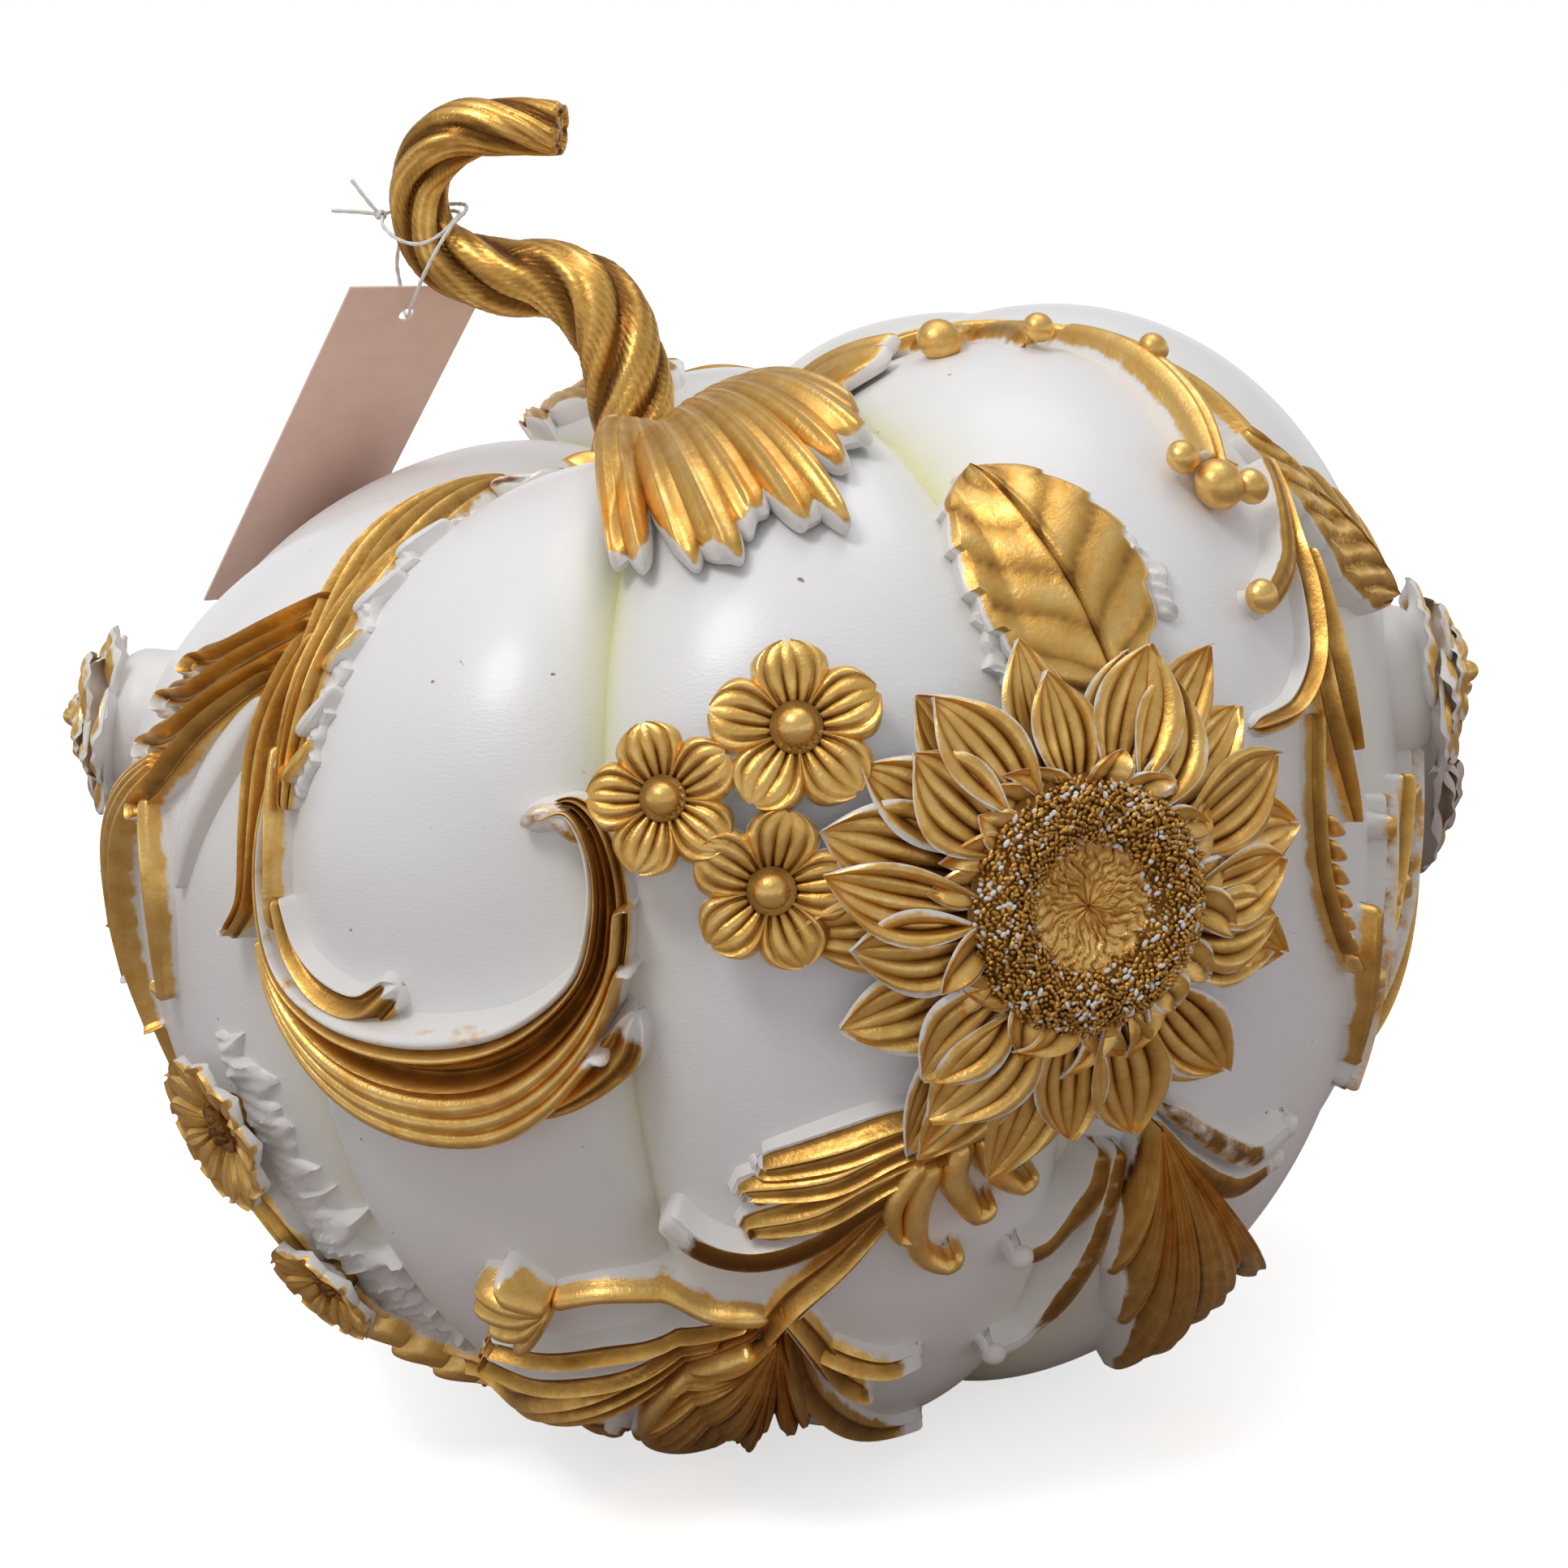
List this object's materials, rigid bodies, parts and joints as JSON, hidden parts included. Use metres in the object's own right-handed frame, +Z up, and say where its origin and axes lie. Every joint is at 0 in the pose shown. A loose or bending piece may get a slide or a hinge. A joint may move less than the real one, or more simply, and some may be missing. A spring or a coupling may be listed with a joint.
{
  "type": "ornate ceramic pumpkin figure",
  "caption": "Tabletop ceramic pumpkin with a lobed white body, gilt relief flowers and scrolls, a twisted hooked stem and a blank card tag on thread.",
  "frame": {"origin": "centre of the flat foot on the surface it stands on", "axes": "+Z up, front towards -Y, +X to the right seen from the front"},
  "size_m": [0.3072, 0.2929, 0.2738],
  "materials": {
    "satin_white_glaze": "satin white with pale yellow creases and a fine brushed texture",
    "antique_gold": "antique gold paint over white, dark in the recesses, white showing at edges",
    "stem_gold": "aged gold paint, brown in the grooves",
    "seed_gold": "gold paint over granular relief with white showing",
    "aged_stone_gold": "grey-brown wash over white with traces of gold",
    "white_thread": "twisted white thread",
    "blank_card": "plain taupe-pink card, matte, with nothing printed on it"
  },
  "bodies": {
    "root": {"body_shell": "satin_white_glaze", "stem": "stem_gold", "stem_leaf": "antique_gold", "sunflower_back_petals": "antique_gold", "sunflower_front_petals": "antique_gold", "sunflower_bracts": "antique_gold", "sunflower_seed_ring": "seed_gold", "sunflower_button": "antique_gold", "sunflower_leaf": "antique_gold", "blossom_upper": "antique_gold", "blossom_left": "antique_gold", "blossom_lower": "antique_gold", "left_plume": "antique_gold", "left_c_scroll": "antique_gold", "left_side_scroll": "antique_gold", "left_side_rose": "antique_gold", "daisy_upper": "antique_gold", "daisy_lower": "antique_gold", "garland_scroll": "antique_gold", "foot_scroll": "antique_gold", "flower_bud": "antique_gold", "bottom_fan_leaf": "antique_gold", "bottom_sprig": "antique_gold", "sunflower_spray": "antique_gold", "right_fan_leaf": "antique_gold", "right_tendrils": "antique_gold", "top_scroll": "antique_gold", "right_vine": "antique_gold", "right_outer_vine": "antique_gold", "right_leaf": "antique_gold", "right_rose": "antique_gold", "right_peony": "aged_stone_gold", "right_swag": "antique_gold", "back_blossom": "antique_gold", "back_scroll_left": "antique_gold", "back_scroll_right": "antique_gold", "tag_thread": "white_thread", "thread_knot": "white_thread"},
    "tag": {"price_tag": "blank_card"}
  },
  "joints": [
    {"name": "tag_swing", "type": "hinge", "parent": "root", "child": "tag", "pos_m": [-0.068, 0.029, 0.23], "axis": [-0.3918, 0.6033, 0.6947], "range_deg": [-6, 32]}
  ]
}
